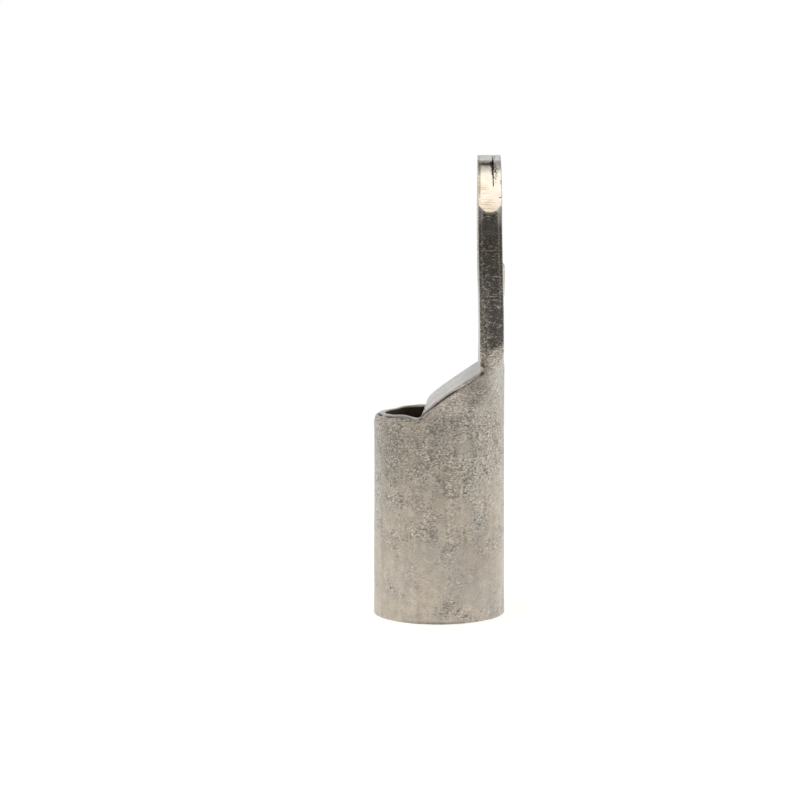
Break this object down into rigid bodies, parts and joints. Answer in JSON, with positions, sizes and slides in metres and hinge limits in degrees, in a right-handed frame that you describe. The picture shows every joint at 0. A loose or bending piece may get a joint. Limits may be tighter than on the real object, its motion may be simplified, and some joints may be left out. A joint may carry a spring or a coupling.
{
  "type": "tube cable lug with inspection window",
  "caption": "Tinned copper tube lug: round crimp barrel, open inspection window, sloping ramp and flat palm with a stud hole.",
  "frame": {"origin": "centre of the cable entry, on the barrel's lower face", "axes": "+Z along the barrel from the cable entry to the palm's tip, +X from the barrel's axis to the palm's back face, Y across the palm"},
  "size_m": [0.021, 0.0306, 0.0736],
  "materials": {
    "tinned_copper": "satin"
  },
  "bodies": {
    "root": {"lug_body": "tinned_copper"}
  },
  "joints": []
}
